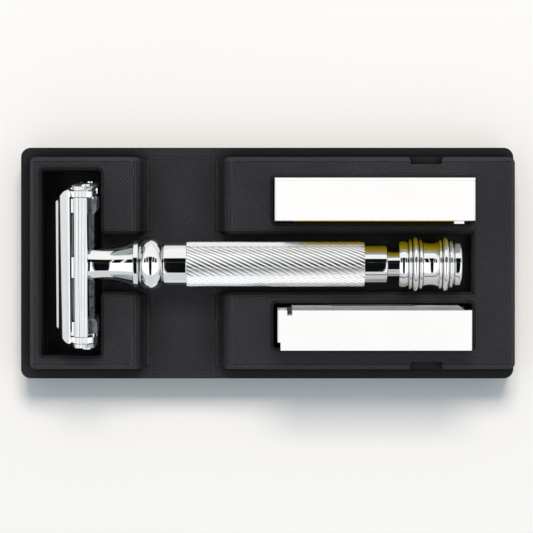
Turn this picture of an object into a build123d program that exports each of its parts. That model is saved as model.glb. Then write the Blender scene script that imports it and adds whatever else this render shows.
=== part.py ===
from build123d import *
from math import acos, atan2, cos, degrees, radians, sin, sqrt
import os

os.makedirs("parts", exist_ok=True)

# Frame: +X runs from the razor's head to its knob, +Y is the far side, +Z is up.
# The tray stands on Z = 0 and is centred on X = 0, Y = 0. Millimetres.

# Razor head, measured along the razor's axis from the lips at the seam of the doors
lip_rise = 0.82
door_rise = 4.53
blade_thickness = 0.1
guard_drop = 0.75
bed_thickness = 1.2
guard_height = 3.87
hinge_drop = 4.2
# Razor head, across the axis: half widths from the axis and half lengths from the middle
seam_gap = 0.3
door_edge_inset = 0.3
door_thickness = 0.9
door_lift_off_blade = 0.35
blade_end_cover = 0.3
door_corner_radius = 3.4
lip_width = 0.8
guard_gap = 0.8
guard_width = 2.0
guard_chamfer = 0.35
guard_groove_pitch = 0.78
guard_groove_depth = 0.2
guard_groove_count = 4
base_end_gap = 0.4
bed_bevel = 0.2
drain_width = 3.0
drain_start = 3.2
drain_end_web = 4.55
tongue_half_width = 4.5
tongue_thickness = 2.6
end_plate_thickness = 1.1
end_plate_top_half_width = 6.5
hinge_offset = 9.4
hinge_pin_radius = 0.8
hinge_boss_radius = 2.4
cheek_thickness = 1.6
cheek_foot_inset = 1.0
cheek_foot_width = 2.4
side_gap = 0.3
blade_length = 43.0
blade_edge_length = 37.3
blade_width = 22.0
blade_tab_width = 12.0
blade_slot_length = 34.0
blade_slot_width = 1.8
locating_rib_height = 1.0

# Lift bar and draw rod
lift_travel = 3.0
lift_clearance = 0.2
lift_bar_thickness = 1.4
lift_bar_half_width = 2.5
ear_length = 4.4
ear_depth = 2.6
ear_half_width = 8.3
ear_corner_radius = 1.5
lift_pin_radius = 0.6
lift_pin_inset = 1.2
lift_pin_arm = 2.25
lift_pin_end_gap = 0.1
lift_slot_play = 0.2
arm_wall = 0.55
hub_radius = 3.1
rod_radius = 1.9
clip_radius = 2.8
clip_thickness = 0.7
running_fit = 0.05

# Handle, along the axis and by radius
neck_top_radius = 4.85
neck_waist_radius = 4.28
neck_waist_station = 5.0
neck_flare_power = 1.8
neck_length = 13.94
neck_end_radius = 6.95
neck_runs = 6
groove_radius = 4.7
ball_radius = 7.95
ball_half_length = 3.65
ball_runs = 7
collar_radius = 6.35
collar_length = 6.7
collar_groove = 0.6
grip_radius = 6.475
grip_length = 50.85
sleeve_radius = 5.65
sleeve_length = 6.6
knob_stop_gap = 0.39
handle_bore = 3.3
grip_bore = 4.6
spigot_length = 4.0
bush_length = 6.0
edge_break = 0.3

# Knob, along the axis from its front face
shank_radius = 3.9
shank_insertion = 12.0
shank_in_knob = 6.0
thrust_radius = 3.4
nut_thickness = 2.0
nut_radius = 3.0
knob_barrel_radius = 6.9
knob_barrel_length = 2.45
knob_root_radius = 6.4
knob_ring_gap = 0.3
waist_length = 4.4
end_cap_radius = 6.4
end_cap_length = 2.0
end_cap_dome = 0.45
end_cap_bevel = 1.6
front_rings = ((1.0, 7.5), (1.6, 8.0), (1.0, 7.4))
rear_rings = ((0.9, 7.4), (1.7, 7.95), (1.4, 7.1))

# Blade dispensers, which stand on their long edges
bank_length = 56.7
bank_body_thickness = 11.34
bank_height = 29.5
bank_wall = 1.2
bank_edge_chamfer = 0.4
bank_step_length = 0.85
bank_step_height = 3.0
cover_length = 50.5
cover_height = 26.0
cover_thickness = 0.76
cover_chamfer = 0.6
window_length = 24.0
window_height = 10.0
stack_thickness = 3.0
stack_clearance = 0.4
exit_slot_width = 0.8
spring_thickness = 0.3
spring_height = 10.0
spring_half_span = 16.0
spring_crest = 4.0
nib_length = 2.8
nib_proud = 0.9
nib_height = 2.4
nib_station = 23.8
label_length = 46.0
label_height = 22.0
label_thickness = 0.12
label_corner_radius = 1.5

# Tray
tray_floor = 2.0
rim_height = 12.4
island_rise = 5.6
case_corner_radius = 2.8
edge_chamfer = 1.05
island_corner_radius = 1.8
pocket_corner_radius = 0.8
mouth_radius = 1.5
side_rim = 2.9
end_rim = 3.0
pocket_wall = 3.4
crown_gap = 4.25
ear_clearance = 0.4
head_end_gap = 3.8
neck_wall = 8.8
valley_length = 18.0
shoulder_length = 11.8
end_wall = 12.3
channel_end_gap = 2.1
ridge = 3.35
outer_wall = 6.1
channel_clearance = 0.25
bank_clearance = 0.35
rest_clearance = 0.15
notch_centre = 45.85
notch_length = 9.0
notch_slope = 0.9
notch_depth = 2.0
notch_inset = 2.1

# How the pieces lie in the tray
razor_roll = 5.0
razor_y = -0.3
near_bank_lean = 1.8

# Razor head: what follows from the blade, from its middle outwards and from its seam down
door_half_width = blade_width / 2 - door_edge_inset
door_half_length = blade_length / 2 + blade_end_cover
lip_half_length = blade_edge_length / 2
cheek_outer = door_half_length - side_gap
cheek_inner = cheek_outer - cheek_thickness
base_half_length = cheek_inner - base_end_gap
drain_end = base_half_length - drain_end_web
guard_inner = blade_width / 2 - guard_gap
guard_outer = guard_inner + guard_width
bed_half_width = guard_inner - bed_bevel
drain_inner = guard_inner - drain_width
ear_end = base_half_length - side_gap
ear_start = ear_end - ear_length
end_plate_x = door_half_length
head_pocket_half = end_plate_x + end_plate_thickness + head_end_gap
head_depth = (
    lip_rise + door_rise + blade_thickness + bed_thickness
    + lift_travel + lift_clearance + ear_depth
)
head_pocket_length = crown_gap + head_depth + ear_clearance

# Tray stations, built up from the left end and from the middle
bank_thickness = bank_body_thickness + cover_thickness
bank_pocket_length = bank_length + 2 * bank_clearance
bank_pocket_width = bank_thickness + 2 * bank_clearance + 0.1
island_top = rim_height + island_rise
step_radius = island_rise / 2
knob_radius = max(radius for _, radius in front_rings + rear_rings)
channel_half_width = knob_radius + channel_clearance
bank_pocket_inner = channel_half_width + ridge
bank_pocket_outer = bank_pocket_inner + bank_pocket_width
bank_y = (bank_pocket_inner + bank_pocket_outer) / 2
island_half_width = max(bank_pocket_outer + outer_wall, head_pocket_half + pocket_wall)
case_width = 2 * (island_half_width + side_rim)
case_length = (
    end_rim + pocket_wall + head_pocket_length + neck_wall + island_rise
    + valley_length + island_rise + shoulder_length + bank_pocket_length + end_wall
)
case_left = -case_length / 2
case_right = case_length / 2
island_left = case_left + end_rim
pocket_left = island_left + pocket_wall
pocket_right = pocket_left + head_pocket_length
flat_end = pocket_right + neck_wall
valley_start = flat_end + island_rise
valley_end = valley_start + valley_length
flat_start = valley_end + island_rise
bank_pocket_left = flat_start + shoulder_length
bank_pocket_right = bank_pocket_left + bank_pocket_length
bank_x = (bank_pocket_left + bank_pocket_right) / 2

# Razor stations along its axis
lip_x = pocket_left + crown_gap
crown_x = lip_x + lip_rise
blade_x = crown_x + door_rise
bed_x = blade_x + blade_thickness
guard_x = bed_x + guard_drop
cavity_x = bed_x + bed_thickness
base_end = guard_x + guard_height
hinge_x = bed_x + hinge_drop
lift_pin_x = hinge_x + lift_travel / 2
lift_bar_x = cavity_x + lift_travel + lift_clearance
neck_end = base_end + neck_length
ball_centre = neck_end + ball_half_length - 0.1
collar_start = ball_centre + ball_half_length - 0.1
collar_end = collar_start + collar_length
grip_end = collar_end + grip_length
sleeve_end = grip_end + sleeve_length
knob_x = sleeve_end + lift_travel + knob_stop_gap
shank_left = sleeve_end - shank_insertion
shank_right = knob_x + shank_in_knob
rod_end = shank_right + running_fit + nut_thickness + 0.8
knob_end = (
    knob_x + knob_barrel_length + knob_ring_gap + waist_length
    + sum(width + knob_ring_gap for width, _ in front_rings + rear_rings)
)
channel_right = knob_end + end_cap_length + end_cap_dome + channel_end_gap
lift_pin_offset = hinge_offset - lift_pin_arm
razor_axis_z = rim_height + max(knob_radius, ball_radius) + rest_clearance
razor_seat = Location((0, razor_y, razor_axis_z), (razor_roll, 0, 0))
door_tip_x = blade_x - door_lift_off_blade
door_arc_drop = door_tip_x - 0.2 - crown_x
door_radius = (door_arc_drop**2 + door_half_width**2) / (2 * door_arc_drop)


def door_surface(offset, half_width):
    """Station of the door's arc, that far from the axis and set in by an offset."""
    return crown_x + door_radius - sqrt((door_radius - offset) ** 2 - half_width**2)


def head_pocket_outline():
    """Plan of the pocket for the head and of the channel for the neck."""
    with BuildSketch() as outline:
        with Locations(((pocket_left + pocket_right) / 2, 0)):
            RectangleRounded(head_pocket_length, 2 * head_pocket_half, pocket_corner_radius)
    return outline.sketch


def bank_pocket_outlines():
    """Plan of the two pockets for the dispensers."""
    with BuildSketch() as outline:
        with Locations((bank_x, bank_y), (bank_x, -bank_y)):
            RectangleRounded(bank_pocket_length, bank_pocket_width, pocket_corner_radius)
    return outline.sketch


# Left island: the raised block round the head pocket, cut by the neck channel
with BuildPart() as left_island:
    with BuildSketch(Plane.XZ):
        with BuildLine():
            Polyline(
                (valley_start, rim_height), (island_left, rim_height),
                (island_left, island_top), (flat_end, island_top),
            )
            shoulder = JernArc((flat_end, island_top), (1, 0), step_radius, -90)
            JernArc(shoulder @ 1, (0, -1), step_radius, 90)
        make_face()
    extrude(amount=island_half_width, both=True)
    with BuildSketch(Plane.XY.offset(rim_height)):
        add(head_pocket_outline())
        with Locations(((pocket_right + valley_start) / 2, 0)):
            Rectangle(valley_start - pocket_right + 2, 2 * channel_half_width)
    extrude(amount=island_rise, mode=Mode.SUBTRACT)
    outer_corners = left_island.edges().filter_by(Axis.Z).group_by(Axis.X)[0]
    fillet(outer_corners, island_corner_radius)
    mouth_corners = (
        left_island.edges().filter_by(Axis.Z)
        .filter_by_position(Axis.X, pocket_right - 0.01, pocket_right + 0.01)
        .filter_by_position(Axis.Y, -channel_half_width - 0.01, channel_half_width + 0.01)
    )
    fillet(mouth_corners, mouth_radius)
    all_top = left_island.edges().filter_by_position(Axis.Z, island_top - 0.01, island_top + 0.01)
    straight_run = all_top.filter_by_position(Axis.X, island_left - 1, flat_end - 0.01)
    chamfer(straight_run, edge_chamfer)

# Right island: the raised block that holds the handle and both dispensers
with BuildPart() as right_island:
    with BuildSketch(Plane.XZ):
        with BuildLine():
            Polyline(
                (valley_end, rim_height), (case_right, rim_height),
                (case_right, island_top), (flat_start, island_top),
            )
            shoulder = JernArc((flat_start, island_top), (-1, 0), step_radius, 90)
            JernArc(shoulder @ 1, (0, -1), step_radius, -90)
        make_face()
    extrude(amount=island_half_width, both=True)
    with BuildSketch(Plane.XY.offset(rim_height)):
        add(bank_pocket_outlines())
        with Locations(((valley_end + channel_right) / 2 - 1, 0)):
            Rectangle(channel_right - valley_end + 2, 2 * channel_half_width)
    extrude(amount=island_rise, mode=Mode.SUBTRACT)
    outer_corners = right_island.edges().filter_by(Axis.Z).group_by(Axis.X)[-1]
    fillet(outer_corners, island_corner_radius)
    all_top = right_island.edges().filter_by_position(Axis.Z, island_top - 0.01, island_top + 0.01)
    inner_run = all_top.filter_by_position(Axis.X, flat_start + 0.01, case_right - 0.01)
    chamfer(inner_run, edge_chamfer)
    for side in (-1, 1):
        with BuildSketch(Plane.XZ.offset(-side * (island_half_width - notch_inset))):
            with Locations((notch_centre, island_top - notch_depth / 2)):
                Trapezoid(
                    notch_length + 2 * notch_slope, notch_depth,
                    180 - degrees(atan2(notch_depth, notch_slope)),
                    rotation=180,
                )
        extrude(amount=-side * 10, mode=Mode.SUBTRACT)

# Tray: a slab with the pockets sunk in it, and the two islands on top
with BuildPart() as case_tray:
    with BuildSketch():
        RectangleRounded(case_length, case_width, case_corner_radius)
    extrude(amount=rim_height)
    with BuildSketch(Plane.XY.offset(tray_floor)):
        add(head_pocket_outline())
        add(bank_pocket_outlines())
    extrude(amount=rim_height, mode=Mode.SUBTRACT)
    add(left_island.part)
    add(right_island.part)

# Head base: bed, guard bars and the tongues that carry the end plates
with BuildPart() as head_base:
    with BuildSketch(Plane.XZ):
        with BuildLine():
            Polyline(
                (cavity_x, 0), (bed_x, 0), (bed_x, bed_half_width), (guard_x, guard_inner),
                (guard_x, guard_outer - guard_chamfer), (guard_x + guard_chamfer, guard_outer),
                (base_end, guard_outer), (base_end, guard_inner),
                (cavity_x, guard_inner), (cavity_x, 0),
            )
        make_face()
        mirror(about=Plane.XZ)
        for side in (-1, 1):
            middle = (guard_x + base_end) / 2
            with Locations((middle, side * guard_outer)):
                with GridLocations(guard_groove_pitch, 1, guard_groove_count, 1):
                    RegularPolygon(guard_groove_depth, 4, mode=Mode.SUBTRACT)
    extrude(amount=base_half_length, both=True)
    with BuildSketch(Plane.XZ):
        with Locations((bed_x + tongue_thickness / 2, 0)):
            Rectangle(tongue_thickness, 2 * tongue_half_width)
    extrude(amount=end_plate_x, both=True)
    with BuildSketch(Plane.XZ):
        with Locations((cavity_x + tongue_thickness, 0)):
            Rectangle(2 * tongue_thickness, 2 * tongue_half_width + 1)
    extrude(amount=base_half_length, both=True, mode=Mode.SUBTRACT)
    with BuildSketch(Plane.XZ):
        with Locations((bed_x - locating_rib_height / 2, 0)):
            Rectangle(locating_rib_height, blade_slot_width - 2 * lift_clearance)
    extrude(amount=blade_slot_length / 2 - 1, both=True)
    with BuildSketch(Plane.YZ.offset(bed_x)):
        with Locations(*[
            (side * (drain_start + drain_end) / 2, level * (drain_inner + guard_inner) / 2)
            for side in (-1, 1) for level in (-1, 1)
        ]):
            Rectangle(drain_end - drain_start, drain_width)
    extrude(amount=bed_thickness, both=True, mode=Mode.SUBTRACT)

# Blade: cutting edges, narrower tabs and the slot that the base's rib goes through
with BuildPart() as razor_blade:
    with BuildSketch(Plane.YZ.offset(blade_x)) as blade_outline:
        Rectangle(blade_edge_length, blade_width)
        Rectangle(blade_length, blade_tab_width)
        SlotOverall(blade_slot_length, blade_slot_width, mode=Mode.SUBTRACT)
    extrude(amount=blade_thickness)


def end_plate(side):
    """Plate at one end of the head, with the holes of the two hinge pins."""
    with BuildPart() as plate:
        with BuildSketch(Plane.XZ.offset(-side * end_plate_x)):
            with Locations((hinge_x, hinge_offset), (hinge_x, -hinge_offset)):
                Circle(hinge_boss_radius)
            with Locations((bed_x + bed_thickness / 2, 0)):
                Rectangle(bed_thickness, 2 * end_plate_top_half_width)
            make_hull()
            with Locations((hinge_x, hinge_offset), (hinge_x, -hinge_offset)):
                Circle(hinge_pin_radius, mode=Mode.SUBTRACT)
        extrude(amount=-side * end_plate_thickness)
    return plate


far_end_plate = end_plate(1)
near_end_plate = end_plate(-1)

# Hinge pins, fixed in the end plates, on which the cheeks of the doors turn
hinge_pin_length = end_plate_x + end_plate_thickness - cheek_inner
with BuildPart() as hinge_pins:
    for side in (-1, 1):
        with BuildSketch(Plane.XZ.offset(-side * cheek_inner)):
            with Locations((hinge_x, hinge_offset), (hinge_x, -hinge_offset)):
                Circle(hinge_pin_radius)
        extrude(amount=-side * hinge_pin_length)


def door(level):
    """Half of the cap: a curved shell, its lip at the seam and a cheek at each end."""
    slot_start = lift_pin_arm - lift_pin_radius - lift_slot_play
    pin_reach = sqrt(lift_pin_arm**2 + (lift_travel / 2) ** 2)
    slot_end = pin_reach + lift_pin_radius + lift_slot_play
    slot_height = 2 * (lift_pin_radius + lift_slot_play)
    direction = Vector(lift_travel / 2, -lift_pin_arm).normalized()
    hinge = Vector(hinge_x, hinge_offset)
    slot_middle = hinge + direction * ((slot_start + slot_end) / 2)
    arm_end = hinge + direction * pin_reach
    arm_angle = degrees(atan2(direction.Y, direction.X))
    inner_drop = door_radius - (door_tip_x - crown_x)
    inner_half_width = sqrt((door_radius - door_thickness) ** 2 - inner_drop**2)
    middle = door_half_width / 2
    foot_middle = door_half_width - cheek_foot_inset - cheek_foot_width / 2
    with BuildPart() as shell:
        with BuildSketch(Plane.XZ):
            with BuildLine():
                ThreePointArc(
                    (door_surface(0, seam_gap / 2), seam_gap / 2),
                    (door_surface(0, middle), middle),
                    (door_tip_x - 0.2, door_half_width),
                )
                Polyline(
                    (door_tip_x - 0.2, door_half_width), (door_tip_x, door_half_width),
                    (door_tip_x, inner_half_width),
                )
                ThreePointArc(
                    (door_tip_x, inner_half_width),
                    (door_surface(door_thickness, middle), middle),
                    (door_surface(door_thickness, seam_gap / 2), seam_gap / 2),
                )
                Line(
                    (door_surface(door_thickness, seam_gap / 2), seam_gap / 2),
                    (door_surface(0, seam_gap / 2), seam_gap / 2),
                )
            make_face()
        extrude(amount=door_half_length, both=True)
        with BuildSketch():
            with BuildLine():
                Polyline(
                    (crown_x - 1, 0), (crown_x, 0),
                    (crown_x, door_half_length - door_corner_radius),
                )
                JernArc(
                    (crown_x, door_half_length - door_corner_radius), (0, 1),
                    door_corner_radius, -90,
                )
                Polyline(
                    (crown_x + door_corner_radius, door_half_length),
                    (crown_x - 1, door_half_length), (crown_x - 1, 0),
                )
            make_face()
            mirror(about=Plane.XZ)
        extrude(amount=door_half_width, both=True, mode=Mode.SUBTRACT)
        with BuildSketch(Plane.XZ):
            with BuildLine():
                Polyline(
                    (crown_x + 0.3, seam_gap / 2), (lip_x, seam_gap / 2),
                    (lip_x, seam_gap / 2 + 0.15), (lip_x + lip_rise, seam_gap / 2 + lip_width),
                    (crown_x + 0.3, seam_gap / 2 + lip_width), close=True,
                )
            make_face()
        extrude(amount=lip_half_length, both=True)
        for side in (-1, 1):
            with BuildSketch(Plane.XZ.offset(-side * (cheek_inner + cheek_thickness / 2))):
                with Locations((hinge.X, hinge.Y)):
                    Circle(hinge_boss_radius)
                with Locations((arm_end.X, arm_end.Y)):
                    Circle(slot_end - pin_reach + arm_wall)
                with Locations((door_surface(door_thickness, foot_middle), foot_middle)):
                    Rectangle(door_thickness, cheek_foot_width)
                make_hull()
                with Locations((hinge.X, hinge.Y)):
                    Circle(hinge_pin_radius + running_fit, mode=Mode.SUBTRACT)
                with Locations((slot_middle.X, slot_middle.Y)):
                    SlotOverall(
                        slot_end - slot_start, slot_height, rotation=arm_angle,
                        mode=Mode.SUBTRACT,
                    )
            extrude(amount=cheek_thickness / 2, both=True)
        if level < 0:
            mirror(about=Plane.XY, mode=Mode.REPLACE)
    return shell


top_door = door(1)
bottom_door = door(-1)

# Lift bar: a flat bar through the neck's slots, with a hub on the rod and an ear at each end
with BuildPart() as lift_bar:
    with BuildSketch(Plane.YZ.offset(lift_bar_x)):
        Rectangle(2 * ear_start + 1, 2 * lift_bar_half_width)
        Circle(hub_radius)
    extrude(amount=lift_bar_thickness)
    for side in (-1, 1):
        with BuildSketch():
            with Locations((lift_bar_x + ear_depth / 2, side * (ear_end - ear_length / 2))):
                Rectangle(ear_depth, ear_length)
            low_corner = vertices().sort_by(Axis.X)[-2:]
            fillet(low_corner.sort_by(Axis.Y)[0 if side > 0 else -1], ear_corner_radius)
        extrude(amount=ear_half_width, both=True)
        with BuildSketch(Plane.XZ.offset(-side * ear_end)):
            with Locations((lift_pin_x, lift_pin_offset), (lift_pin_x, -lift_pin_offset)):
                Circle(lift_pin_radius)
        extrude(amount=side * lift_pin_inset, mode=Mode.SUBTRACT)
    with BuildSketch(Plane.YZ.offset(lift_bar_x)):
        Circle(rod_radius)
    extrude(amount=lift_bar_thickness, mode=Mode.SUBTRACT)

# Lift pins, fixed in the ears, which run in the slots of the cheeks
with BuildPart() as lift_pins:
    for side in (-1, 1):
        with BuildSketch(Plane.XZ.offset(-side * (ear_end - lift_pin_inset))):
            with Locations((lift_pin_x, lift_pin_offset), (lift_pin_x, -lift_pin_offset)):
                Circle(lift_pin_radius)
        extrude(amount=-side * (cheek_outer - lift_pin_end_gap - ear_end + lift_pin_inset))

# Draw rod with its clip, thrust collar and nut
with BuildPart() as draw_rod:
    with BuildSketch(Plane.YZ.offset(lift_bar_x)):
        Circle(rod_radius)
    extrude(amount=rod_end - lift_bar_x)

with BuildPart() as rod_clip:
    with BuildSketch(Plane.YZ.offset(lift_bar_x + lift_bar_thickness)):
        Circle(clip_radius)
        Circle(rod_radius, mode=Mode.SUBTRACT)
    extrude(amount=clip_thickness)

with BuildPart() as thrust_collar:
    with BuildSketch(Plane.YZ.offset(shank_left - 2 * running_fit)):
        Circle(thrust_radius)
        Circle(rod_radius, mode=Mode.SUBTRACT)
    extrude(amount=-clip_thickness)

with BuildPart() as rod_nut:
    with BuildSketch(Plane.YZ.offset(shank_right + 2 * running_fit)):
        RegularPolygon(nut_radius, 6)
        Circle(rod_radius, mode=Mode.SUBTRACT)
    extrude(amount=nut_thickness)

def neck_radius(station):
    """Radius of the neck, that far behind the guard bars: a waist, then a flare."""
    if station < neck_waist_station:
        share = 1 - station / neck_waist_station
        return neck_waist_radius + (neck_top_radius - neck_waist_radius) * share**2
    share = (station - neck_waist_station) / (neck_length - neck_waist_station)
    return neck_waist_radius + (neck_end_radius - neck_waist_radius) * share**neck_flare_power


# Neck tube: seated under the bed, slotted for the lift bar, waisted and flared
with BuildPart() as neck_tube:
    with BuildSketch(Plane.XZ):
        with BuildLine():
            stations = [neck_length * step / neck_runs for step in range(neck_runs + 1)]
            Polyline(
                (cavity_x, handle_bore), (cavity_x, neck_top_radius),
                *[(base_end + station, neck_radius(station)) for station in stations],
                (neck_end, grip_bore),
                (neck_end - spigot_length, grip_bore), (neck_end - spigot_length, handle_bore),
                (cavity_x, handle_bore),
            )
        make_face()
    revolve(axis=Axis.X)
    slot_right = lift_bar_x + lift_bar_thickness + lift_clearance
    with BuildSketch(Plane.XZ):
        with Locations(((cavity_x + slot_right) / 2, 0)):
            Rectangle(slot_right - cavity_x, 2 * (lift_bar_half_width + lift_clearance))
    extrude(amount=2 * neck_top_radius, both=True, mode=Mode.SUBTRACT)

# Ball and collar, turned in one piece, with a spigot into the neck and one into the grip
with BuildPart() as ball_collar:
    with BuildSketch(Plane.XZ):
        with BuildLine():
            cut_angle = acos(groove_radius / ball_radius)
            turns = [cut_angle * (2 * step / ball_runs - 1) for step in range(ball_runs + 1)]
            Polyline(
                *[
                    (ball_centre + ball_half_length * sin(turn), ball_radius * cos(turn))
                    for turn in turns
                ],
                (collar_start + collar_groove, groove_radius),
                (collar_start + collar_groove, collar_radius - edge_break),
                (collar_start + collar_groove + edge_break, collar_radius),
                (collar_end, collar_radius), (collar_end, grip_bore),
                (collar_end + spigot_length, grip_bore),
                (collar_end + spigot_length, handle_bore),
                (neck_end - spigot_length, handle_bore), (neck_end - spigot_length, grip_bore),
                (neck_end, grip_bore), (neck_end, groove_radius),
                close=True,
            )
        make_face()
    revolve(axis=Axis.X)

with BuildPart() as guide_bush:
    with BuildSketch(Plane.YZ.offset(ball_centre - bush_length / 2)):
        Circle(handle_bore)
        Circle(rod_radius + running_fit, mode=Mode.SUBTRACT)
    extrude(amount=bush_length)

with BuildPart() as grip_tube:
    with BuildSketch(Plane.YZ.offset(collar_end)):
        Circle(grip_radius)
        Circle(grip_bore, mode=Mode.SUBTRACT)
    extrude(amount=grip_length)

with BuildPart() as tail_sleeve:
    with BuildSketch(Plane.XZ):
        with BuildLine():
            Polyline(
                (grip_end - spigot_length, shank_radius + running_fit),
                (grip_end - spigot_length, grip_bore), (grip_end, grip_bore),
                (grip_end, sleeve_radius), (sleeve_end, sleeve_radius),
                (sleeve_end, shank_radius + running_fit), close=True,
            )
        make_face()
    revolve(axis=Axis.X)

with BuildPart() as knob_shank:
    with BuildSketch(Plane.YZ.offset(shank_left)):
        Circle(shank_radius)
        Circle(rod_radius + running_fit, mode=Mode.SUBTRACT)
    extrude(amount=shank_right - shank_left)


def ring_profile(start, rings):
    """Points of a row of rings, each with a groove down to the root behind it."""
    points = []
    for width, radius in rings:
        points += [
            (start, knob_root_radius), (start, radius),
            (start + width, radius), (start + width, knob_root_radius),
        ]
        start += width + knob_ring_gap
    return points


# Knob: barrel, three rings, waist and three rings, bored through for shank and cap
with BuildPart() as knob:
    with BuildSketch(Plane.XZ):
        with BuildLine():
            barrel_end = knob_x + knob_barrel_length
            rear_start = knob_end - sum(width + knob_ring_gap for width, _ in rear_rings)
            Polyline(
                (knob_x, shank_radius), (knob_x, knob_barrel_radius),
                (barrel_end, knob_barrel_radius), (barrel_end, knob_root_radius),
                *ring_profile(barrel_end + knob_ring_gap, front_rings),
                *ring_profile(rear_start, rear_rings),
                (knob_end, knob_root_radius), (knob_end, shank_radius),
                close=True,
            )
        make_face()
    revolve(axis=Axis.X)

with BuildPart() as knob_end_cap:
    with BuildSketch(Plane.XZ):
        with BuildLine():
            cap_face = knob_end + end_cap_length
            Polyline(
                (cap_face + end_cap_dome, 0), (knob_end - spigot_length, 0),
                (knob_end - spigot_length, shank_radius), (knob_end, shank_radius),
                (knob_end, end_cap_radius), (cap_face, end_cap_radius),
                (cap_face + end_cap_dome, end_cap_radius - end_cap_bevel),
                close=True,
            )
        make_face()
    revolve(axis=Axis.X)

# The razor's pieces lie on its axis and are rolled and lifted into the tray together
razor_pieces = {
    "head_base": head_base, "razor_blade": razor_blade,
    "far_end_plate": far_end_plate, "near_end_plate": near_end_plate,
    "hinge_pins": hinge_pins, "top_door": top_door, "bottom_door": bottom_door,
    "lift_bar": lift_bar, "lift_pins": lift_pins, "draw_rod": draw_rod,
    "rod_clip": rod_clip, "thrust_collar": thrust_collar, "rod_nut": rod_nut,
    "neck_tube": neck_tube, "ball_collar": ball_collar, "guide_bush": guide_bush,
    "grip_tube": grip_tube, "tail_sleeve": tail_sleeve, "knob_shank": knob_shank,
    "knob": knob, "knob_end_cap": knob_end_cap,
}
for name, piece in razor_pieces.items():
    piece.part.location = razor_seat
    piece.part.label = name
    export_step(piece.part, f"parts/{name}.step")


def dispenser(with_nib):
    """Pieces of one dispenser: cover on its +Y side, standing on Z = 0, centred on X and Y."""
    back = -bank_thickness / 2
    front = back + bank_body_thickness
    cavity_length = blade_length + 2 * stack_clearance
    cavity_height = blade_width + 2 * stack_clearance
    floor_y = back + bank_wall
    stack_face = front - stack_clearance / 2
    middle_z = bank_height / 2
    with BuildPart() as shell:
        with BuildSketch(Plane.XZ.offset(-back)):
            with Locations((0, middle_z)):
                Rectangle(bank_length, bank_height)
            with Locations(
                (-(bank_length - bank_step_length) / 2, bank_step_height / 2),
                ((bank_length - bank_step_length) / 2, bank_step_height / 2),
            ):
                Rectangle(bank_step_length, bank_step_height, mode=Mode.SUBTRACT)
        extrude(amount=-bank_body_thickness)
        chamfer(shell.edges().filter_by(Axis.Y), bank_edge_chamfer)
        with BuildSketch(Plane.XZ.offset(-floor_y)):
            with Locations((0, middle_z)):
                Rectangle(cavity_length, cavity_height)
        extrude(amount=-bank_body_thickness, mode=Mode.SUBTRACT)
        with BuildSketch(Plane.YZ.offset(-bank_length / 2)):
            with Locations((front - exit_slot_width / 2, middle_z)):
                Rectangle(exit_slot_width, cavity_height)
        extrude(amount=bank_length / 2, mode=Mode.SUBTRACT)
        if with_nib:
            with BuildSketch(Plane.XZ.offset(-back)):
                with Locations((nib_station, bank_height - nib_height / 2 - bank_edge_chamfer)):
                    Rectangle(nib_length, nib_height)
            extrude(amount=nib_proud)
    with BuildPart() as cover:
        with BuildSketch(Plane.XZ.offset(-front)):
            with Locations((0, middle_z)):
                Rectangle(cover_length, cover_height)
        extrude(amount=-cover_thickness)
        end_edges = cover.faces().sort_by(Axis.Y)[-1].edges().filter_by(Axis.Z)
        chamfer(end_edges, cover_chamfer)
        with BuildSketch(Plane.XZ.offset(-front)):
            with Locations((0, middle_z)):
                Rectangle(window_length, window_height)
        extrude(amount=-cover_thickness, mode=Mode.SUBTRACT)
    with BuildPart() as stack:
        with BuildSketch(Plane.XZ.offset(-stack_face)):
            with Locations((0, middle_z)):
                Rectangle(blade_edge_length, blade_width)
                Rectangle(blade_length, blade_tab_width)
        extrude(amount=stack_thickness)
    with BuildPart() as spring:
        with BuildSketch(Plane.XY.offset(middle_z - spring_height / 2)):
            with BuildLine():
                top = stack_face - stack_thickness
                foot = floor_y + spring_thickness
                Polyline(
                    (-spring_half_span, floor_y), (-spring_half_span, foot),
                    (-spring_crest, top), (spring_crest, top),
                    (spring_half_span, foot), (spring_half_span, floor_y),
                    (spring_crest, top - spring_thickness),
                    (-spring_crest, top - spring_thickness),
                    close=True,
                )
            make_face()
        extrude(amount=spring_height)
    return {"shell": shell, "cover": cover, "blade_stack": stack, "spring": spring}


# The far dispenser stands upright; the near one is turned over and leans outwards a little
bank_floor = tray_floor + rest_clearance
far_seat = Location((bank_x, bank_y, bank_floor))
lean_slope = sin(radians(near_bank_lean))
lean_rise = bank_thickness / 2 * lean_slope
lean_shift = (island_top - bank_floor) / 2 * lean_slope
near_seat = (
    Location(
        (bank_x, lean_shift - bank_y, bank_floor + lean_rise), (near_bank_lean, 0, 0),
    )
    * Location((0, 0, bank_height), (0, 180, 0))
)
for place, seat in (("far", far_seat), ("near", near_seat)):
    for name, piece in dispenser(place == "far").items():
        piece.part.location = seat
        piece.part.label = f"{place}_dispenser_{name}"
        export_step(piece.part, f"parts/{place}_dispenser_{name}.step")

with BuildPart() as label:
    with BuildSketch(Plane.XZ.offset(bank_thickness / 2)):
        with Locations((0, bank_height / 2)):
            RectangleRounded(label_length, label_height, label_corner_radius)
    extrude(amount=label_thickness)
label.part.location = far_seat
label.part.label = "far_dispenser_label"
export_step(label.part, "parts/far_dispenser_label.step")

case_tray.part.label = "case_tray"
export_step(case_tray.part, "parts/case_tray.step")
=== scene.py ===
from math import cos, pi, radians, sin, sqrt, tan

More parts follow.
